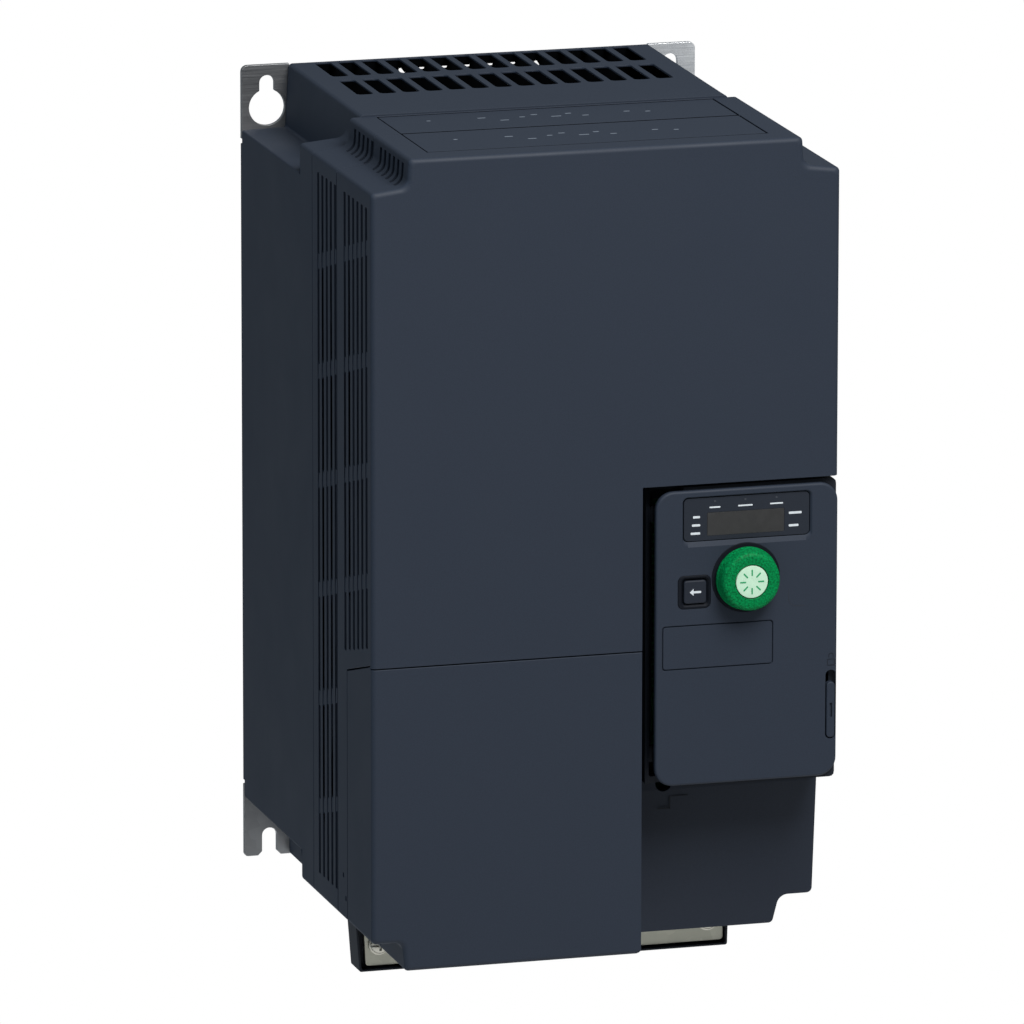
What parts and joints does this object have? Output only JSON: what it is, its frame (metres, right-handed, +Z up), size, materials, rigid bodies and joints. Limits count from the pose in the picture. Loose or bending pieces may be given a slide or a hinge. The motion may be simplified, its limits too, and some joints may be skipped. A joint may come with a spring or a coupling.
{
  "type": "variable frequency drive",
  "caption": "Wall-mounted motor drive in a tall ribbed dark case with a hinged keypad door, green jog dial, pull-off terminal cover and cooling fans.",
  "frame": {"origin": "centre of the mounting plate's rear face, which lies on the wall", "axes": "+X right seen from the front, +Y into the wall, +Z up; the front faces -Y"},
  "size_m": [0.18, 0.1932, 0.3317],
  "materials": {
    "body_plastic": "fine moulded texture, satin",
    "dark_plastic": "fine moulded texture",
    "galvanised_steel": "zinc coated sheet",
    "bright_steel": "plated",
    "heatsink_aluminium": "extruded, as made",
    "black_plastic": "moulded",
    "display_pane": "clear grey-brown pane",
    "dial_green": "stippled",
    "cap_pale": "smooth",
    "circuit_board": "solder mask",
    "module_plastic": "moulded",
    "capacitor_sleeve": "shrink sleeve",
    "terminal_green": "moulded"
  },
  "bodies": {
    "housing": {"rear_housing": "body_plastic", "mid_frame": "body_plastic", "vent_shell": "body_plastic", "front_cover": "body_plastic", "control_bay": "body_plastic", "top_strip_rear": "body_plastic", "top_strip_front": "body_plastic", "door_base": "dark_plastic", "bottom_frame": "dark_plastic", "mounting_plate": "galvanised_steel", "earth_plate": "galvanised_steel", "earth_screw_left": "bright_steel", "earth_screw_right": "bright_steel", "hinge_pin_upper": "bright_steel", "hinge_pin_lower": "bright_steel", "heatsink": "heatsink_aluminium", "fan_frame_left": "black_plastic", "fan_frame_right": "black_plastic", "power_terminals": "black_plastic", "network_socket": "black_plastic", "power_board": "circuit_board", "control_board": "circuit_board", "power_module": "module_plastic", "capacitor_1": "capacitor_sleeve", "capacitor_2": "capacitor_sleeve", "capacitor_3": "capacitor_sleeve", "capacitor_4": "capacitor_sleeve", "control_terminals": "terminal_green"},
    "fan_left": {"fan_rotor_left": "black_plastic"},
    "fan_right": {"fan_rotor_right": "black_plastic"},
    "terminal_cover": {"terminal_cover": "body_plastic"},
    "door": {"hmi_door": "body_plastic", "display_bezel": "dark_plastic", "display_window": "display_pane", "display_module": "black_plastic", "keypad_board": "circuit_board", "encoder_housing": "black_plastic"},
    "esc_key": {"esc_button": "dark_plastic"},
    "dial_plunger": {"dial_plunger": "black_plastic"},
    "dial": {"jog_dial": "dial_green", "dial_cap": "cap_pale"},
    "lock": {"lock_slider": "dark_plastic"}
  },
  "joints": [
    {"name": "fan_spin_left", "type": "hinge", "parent": "housing", "child": "fan_left", "pos_m": [-0.037, -0.043, -0.114], "axis": [0, 0, 1], "continuous": true},
    {"name": "fan_spin_right", "type": "hinge", "parent": "housing", "child": "fan_right", "pos_m": [0.037, -0.043, -0.114], "axis": [0, 0, 1], "continuous": true},
    {"name": "terminal_cover_pull", "type": "slide", "parent": "housing", "child": "terminal_cover", "axis": [0, -1, 0], "range_m": [0, 0.04]},
    {"name": "door_hinge", "type": "hinge", "parent": "housing", "child": "door", "pos_m": [0.024, -0.1802, -0.034], "axis": [0, 0, -1], "range_deg": [0, 90]},
    {"name": "esc_press", "type": "slide", "parent": "door", "child": "esc_key", "axis": [0, 1, 0], "range_m": [0, 0.0008], "stiffness_N_per_m": 600},
    {"name": "dial_press", "type": "slide", "parent": "door", "child": "dial_plunger", "axis": [0, 1, 0], "range_m": [0, 0.0006], "stiffness_N_per_m": 1200},
    {"name": "dial_turn", "type": "hinge", "parent": "dial_plunger", "child": "dial", "pos_m": [0.0542, -0.19, -0.0123], "axis": [0, -1, 0], "continuous": true},
    {"name": "lock_slide", "type": "slide", "parent": "door", "child": "lock", "axis": [0, 0, 1], "range_m": [0, 0.004]}
  ]
}
